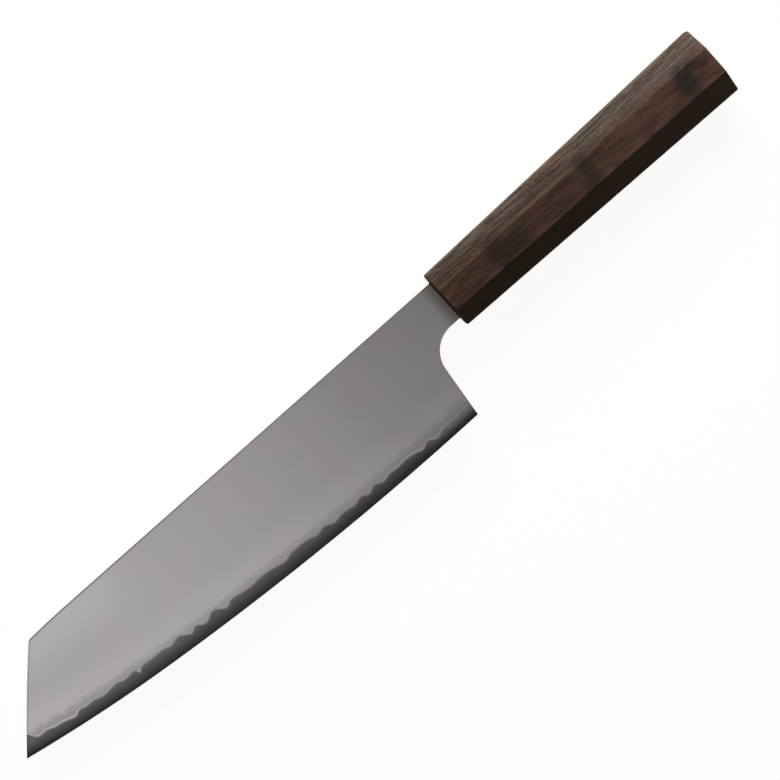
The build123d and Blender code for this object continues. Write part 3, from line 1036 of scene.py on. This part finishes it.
def by_height(finish, lightness, along, rise):
    """The wood's lightness: lighter at the top as a painted sheen, darker below, and lighter under that
    near the butt.
    """
    below_top = along * HANDLE_TOP_SLOPE + HANDLE_TOP - rise
    # A painted sheen along the upper edge, strongest near the front
    painted_sheen_top_edge = 1 - finish.smooth(below_top, 0.5, 2.6)
    lightness = lightness + painted_sheen_top_edge * finish.level(along, 45.0, 100.0, 0.12, 0.02)
    below_band = below_top - finish.level(along, 100.0, 125.0, 0.0, 2.0)
    band = finish.smooth(below_band, 2.4, 4.2) * (1 - finish.smooth(below_band, 5.4, 6.6))
    lightness = lightness - band * finish.level(along, 100.0, 125.0, 0.2, 0.12)
    from_side = finish.smooth(below_top, 8.3, 8.8)
    return lightness + from_side * finish.level(along, 104.0, 122.0, 0.0, 0.14)


def wood_finish(name, finishes):
    """Oiled dark hardwood: growth lines, streaks, flecks, open pores and dark patches, right through, with
    painted sheen above and painted shade on the lower facets and the front.
    """
    finish = Finish(name)
    place = finish.place()
    along = finish.part_of(place, "X")
    rise = finish.part_of(place, "Y")
    out = finish.part_of(place, "Z")
    sway = finish.noise(place, (0.012, 0.05, 0.05), 2.0)
    figure = finish.noise(place, (0.03, 0.16, 0.16), 3.0, 0.55)
    # On the left side the grain runs down towards the front's lower edge
    slant = finish.maths("SMOOTH_MIN", along - 76.0, 0.0, 10.0) * finish.smooth(out, 17.0, 19.5) * 0.3
    grain = finish.shifted(place, finish.node("ShaderNodeCombineXYZ", None, {1: slant + sway * 5.0}))
    # Rings round a pith that lies well under the right side of the handle
    across = rise - PITH_RISE
    up = out + PITH_DEPTH
    radius = (across * across + up * up) ** 0.5 + sway * 8.0 + figure * 2.6
    ring = finish.maths("FRACT", radius / RING_WIDTH)
    late = finish.smooth(ring, 0.15, 0.5) * (1 - finish.smooth(ring, 0.65, 0.9))
    streak = finish.noise(grain, (0.03, 1.6, 1.6), 3.0, 0.65)
    fibre = finish.noise(grain, (0.16, 5.5, 5.5), 2.0, 0.6)
    pore = finish.noise(grain, (0.22, 4.2, 4.2), 1.0, 0.4)
    pores = finish.smooth(pore, 0.60, 0.70)
    fine = finish.smooth(finish.noise(grain, (0.05, 1.7, 1.7), 2.0, 0.55), 0.34, 0.66)
    fleck = finish.noise(grain, (0.8, 4.6, 4.6), 2.0, 0.6)
    hue = finish.smooth(finish.noise(place, (0.11, 0.26, 0.26), 2.0), 0.38, 0.62)
    broad = finish.noise(place, (0.02, 0.09, 0.09), 1.0)
    tone = finish.clamped(late * 0.52 + finish.smooth(streak, 0.36, 0.62) * 0.54 - 0.04)
    # The flat left side cuts the rings at a low angle, so they show less there
    flat = finish.smooth(out, 17.0, 19.0)
    tone = tone * (1 - flat * 0.5) + flat * 0.24
    # The lower facets show little grain, the flat look of their painted shade
    under = 1 - finish.smooth(rise, 5.2, 7.4)
    tone = tone * (1 - under * 0.6) + under * 0.27
    base = finish.blend(tone, finishes.wood_light, finishes.wood_dark)
    # A painted sheen: the spine's side leans to a light grey, more towards the butt
    painted_sheen = finish.smooth(rise, 15.5, 22.0) * finish.level(along, 45.0, 170.0, 0.4, 0.9)
    base = finish.blend(painted_sheen * (1 - tone * 0.6), base, finishes.wood_painted_sheen)
    warm = finish.smooth(broad, 0.54, 0.7) * (1 - tone) * 0.6
    base = finish.blend(warm, base, finishes.wood_warm)
    smoke = dark_patches(finish, place, figure) * finish.level(along, 120.0, 150.0, 0.66, 0.82)
    base = finish.blend(smoke, base, finishes.wood_smoke_and_painted_shade)
    # The lower facets also get a painted shade that makes them darker, greyer and greener, and patches of
    # the wood lean to red or to green
    base = finish.blend(under * 0.35, base, finishes.wood_smoke_and_painted_shade)
    base = finish.blend(under, base, LOWER_FACET_PAINTED_SHADE, "MULTIPLY")
    base = finish.blend(1.0, base, finish.blend(hue, REDDER_WOOD, GREENER_WOOD), "MULTIPLY")
    # Ridges show wear and a painted highlight in places, and the front end gets a painted shade
    wear_and_painted_highlight = finish.attribute("wear_and_painted_highlight") * finish.smooth(streak, 0.4, 0.6)
    front = 1 - finish.smooth(along, FRONT_ALONG + 0.1, FRONT_ALONG + 0.8)
    rough = (fibre - 0.5) * 0.35 + wear_and_painted_highlight * 0.5 - pores * 0.35 + (fine - 0.5) * (1 - flat * 0.5) * 0.62
    # Short flecks break the grain up, most of all on the spine's side
    rough = rough + (fleck - 0.5) * finish.level(rise, 14.0, 18.0, 0.7, 2.2)
    # On the lower facets the painted shade also flattens the grain and lifts the lightness
    lightness = by_height(finish, 1.0 + rough * (1 - under * 0.6), along, rise)
    lightness = lightness * finish.level(along, 60.0, 150.0, 0.95, 1.08) * (1 + under * 0.3)
    # A painted shade darkens the handle's front end
    base = finish.scaled(base, lightness * (1 - front * 0.5))
    roughness = 0.52 + (fibre - 0.5) * 0.12 + pores * 0.2 - wear_and_painted_highlight * 0.08
    normal = finish.bump(fibre * 0.35 + streak * 0.2 - pores * 0.45, 0.05)
    sockets = {
        "Base Color": base, "Roughness": roughness, "Normal": normal, "Specular IOR Level": 0.04,
    }
    return finish.surface(sockets)


def glue_finish(finishes):
    """Cured epoxy, cloudy and a little uneven."""
    finish = Finish("cured_epoxy")
    place = finish.place()
    cloud = finish.noise(place, (0.8, 0.8, 0.8), 3.0)
    base = finish.scaled(finishes.glue, 0.85 + cloud * 0.3)
    normal = finish.bump(cloud, 0.05)
    return finish.surface({"Base Color": base, "Roughness": 0.3 + cloud * 0.1, "Normal": normal})


def seal_finish(finishes):
    """Black sealing bead with a faint skin."""
    finish = Finish("sealing_bead")
    place = finish.place()
    skin = finish.noise(place, (1.5, 1.5, 1.5), 3.0)
    base = finish.scaled(finishes.seal, 0.8 + skin * 0.4)
    normal = finish.bump(skin, 0.04)
    sockets = {
        "Base Color": base, "Roughness": 0.7 + skin * 0.15, "Normal": normal, "Specular IOR Level": 0.1,
    }
    return finish.surface(sockets)


def floor_finish():
    """White sweep: the background is white to the camera and in reflections, and keeps a soft shadow."""
    finish = Finish("white_sweep")
    light = finish.node("ShaderNodeLightPath", output="Is Camera Ray")
    glossy = finish.node("ShaderNodeLightPath", output="Is Glossy Ray")
    through = finish.node("ShaderNodeLightPath", output="Is Transmission Ray")
    seen = finish.clamped(light + glossy + through) * FLOOR_COVER
    matt = finish.node("ShaderNodeBsdfDiffuse", None, {"Color": (0.5, 0.5, 0.5, 1.0)})
    glow = {"Color": (1.0, 1.0, 1.0, 1.0), "Strength": FLOOR_WHITE}
    white = finish.node("ShaderNodeEmission", None, glow)
    both = finish.node("ShaderNodeMixShader", None, {0: seen, 1: matt, 2: white})
    finish.node("ShaderNodeOutputMaterial", None, {"Surface": both})
    return finish.owner


def soft_lamp(name, place, target, width, height, power):
    """A rectangular soft lamp that faces a point."""
    data = bpy.data.lights.new(name, "AREA")
    data.shape = "RECTANGLE"
    data.size = width
    data.size_y = height
    data.energy = power
    lamp = bpy.data.objects.new(name, data)
    bpy.context.scene.collection.objects.link(lamp)
    lamp.location = place
    lamp.rotation_euler = (Vector(target) - Vector(place)).to_track_quat("-Z", "Y").to_euler()
    return lamp


def set_up_camera(stage):
    """The photograph's view: nearly straight down on the blade's left side, with the knife turned up."""
    data = bpy.data.cameras.new("photo_camera")
    data.lens = data.sensor_width / 2 / (stage.view_width / 2 / stage.camera_distance)
    data.clip_start = 0.05
    data.clip_end = 40.0
    camera = bpy.data.objects.new("photo_camera", data)
    bpy.context.scene.collection.objects.link(camera)
    lean = Matrix.Rotation(-stage.view_tilt, 3, "X") @ Matrix.Rotation(-stage.view_turn, 3, "Z")
    place = VIEW_CENTRE + lean @ Vector((0.0, 0.0, stage.camera_distance))
    camera.matrix_world = Matrix.Translation(place) @ lean.to_4x4()
    bpy.context.scene.camera = camera


def set_up_world(stage):
    """Even surroundings: white to the camera, soft in reflections, and dim on matt surfaces."""
    world = bpy.data.worlds.new("studio")
    bpy.context.scene.world = world
    finish = Finish("studio", world)
    to_camera = finish.node("ShaderNodeLightPath", output="Is Camera Ray")
    glossy = finish.node("ShaderNodeLightPath", output="Is Glossy Ray")
    strength = stage.ambient + glossy * (stage.reflected - stage.ambient)
    strength = strength + to_camera * (1 - stage.ambient)
    sockets = {"Color": (1.0, 1.0, 1.0, 1.0), "Strength": strength}
    sky = finish.node("ShaderNodeBackground", None, sockets)
    finish.node("ShaderNodeOutputWorld", None, {"Surface": sky})


class KNIFE_OT_core_steel(bpy.types.Operator):
    """Build the middle layer of the blade, with its bare strip and its sharpened edge"""

    bl_idname = "knife.core_steel"
    bl_label = "Core Steel"

    def execute(self, context):
        scene = context.scene
        lines = BladeLines(scene.knife_blade, scene.knife_handle)
        piece = make_core("blade_core", lines, core_finish(scene.knife_finishes))
        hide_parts("core_steel")
        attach(piece, "root")
        return {"FINISHED"}


class KNIFE_OT_claddings(bpy.types.Operator):
    """Build the two outer layers of the blade, down to the wavy line"""

    bl_idname = "knife.claddings"
    bl_label = "Claddings"

    def execute(self, context):
        scene = context.scene
        lines = BladeLines(scene.knife_blade, scene.knife_handle)
        steel = cladding_finish(scene.knife_finishes)
        for name, side in (("left_cladding", 1), ("right_cladding", -1)):
            piece = make_cladding("blade_" + name, lines, side, steel)
            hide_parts(name)
            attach(piece, "root")
        return {"FINISHED"}


class KNIFE_OT_handle(bpy.types.Operator):
    """Build the octagonal handle with its eased edges and its bore"""

    bl_idname = "knife.handle"
    bl_label = "Handle"

    def execute(self, context):
        scene = context.scene
        place = HandlePlace(scene.knife_blade, scene.knife_handle)
        wood = wood_finish("oiled_handle_wood", scene.knife_finishes)
        piece = make_handle("handle", scene.knife_handle, place, wood)
        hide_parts("handle_body")
        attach(piece, "root")
        return {"FINISHED"}


class KNIFE_OT_dowel_and_glue(bpy.types.Operator):
    """Finish the dowel, the glue round the tang and the seal, whose shapes are right as they are"""

    bl_idname = "knife.dowel_and_glue"
    bl_label = "Dowel, Glue and Seal"

    def execute(self, context):
        finishes = context.scene.knife_finishes
        fitted = {
            "tang_dowel": wood_finish("dowel_end_wood", finishes),
            "tang_adhesive": glue_finish(finishes),
            "neck_seal": seal_finish(finishes),
        }
        for name, material in fitted.items():
            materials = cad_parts[name].data.materials
            materials.clear()
            materials.append(material)
        return {"FINISHED"}


class KNIFE_OT_stage(bpy.types.Operator):
    """Set up the white floor, the soft lamps, the surroundings and the camera"""

    bl_idname = "knife.stage"
    bl_label = "Stage"

    def execute(self, context):
        scene = context.scene
        stage = scene.knife_stage
        scene.view_settings.view_transform = "Standard"
        maker = PieceMesh()
        corners = [(-1, -1), (1, -1), (1, 1), (-1, 1)]
        maker.face(*[Vector((x * FLOOR_REACH, y * FLOOR_REACH, -FLOOR_DROP)) for x, y in corners])
        floor = maker.piece("floor", floor_finish(), sharp_angle=30)
        key = soft_lamp("key_lamp", *KEY_LAMP, stage.key_power)
        # Seen from some sides, the flat blade would mirror this lamp as one white glare
        key.visible_glossy = False
        soft_lamp("overhead_sheet", *OVERHEAD_SHEET, stage.sheet_power)
        set_up_world(stage)
        set_up_camera(stage)
        return {"FINISHED"}


class KNIFE_PT_build(bpy.types.Panel):
    """The knife's pieces, sizes and finishes"""

    bl_idname = "KNIFE_PT_build"
    bl_label = "Kiritsuke Knife"
    bl_space_type = "VIEW_3D"
    bl_region_type = "UI"
    bl_category = "Knife"

    def draw(self, context):
        layout = self.layout
        for operator in STEPS:
            layout.operator(operator.bl_idname)
        for group_name, _ in GROUPS:
            group = getattr(context.scene, group_name)
            box = layout.box()
            for name in group.__annotations__:
                box.prop(group, name)


STEPS = [
    KNIFE_OT_core_steel,
    KNIFE_OT_claddings,
    KNIFE_OT_handle,
    KNIFE_OT_dowel_and_glue,
    KNIFE_OT_stage,
]
GROUPS = [
    ("knife_blade", BladeSizes),
    ("knife_handle", HandleSizes),
    ("knife_finishes", Finishes),
    ("knife_stage", StageLevels),
]


def register():
    for name, group in GROUPS:
        bpy.utils.register_class(group)
        setattr(bpy.types.Scene, name, PointerProperty(type=group))
    for part in [*STEPS, KNIFE_PT_build]:
        bpy.utils.register_class(part)


def unregister():
    for part in reversed([*STEPS, KNIFE_PT_build]):
        bpy.utils.unregister_class(part)
    for name, group in reversed(GROUPS):
        delattr(bpy.types.Scene, name)
        bpy.utils.unregister_class(group)


def main():
    register()
    bpy.ops.knife.core_steel()
    bpy.ops.knife.claddings()
    bpy.ops.knife.handle()
    bpy.ops.knife.dowel_and_glue()
    bpy.ops.knife.stage()


if __name__ == "__main__":
    main()
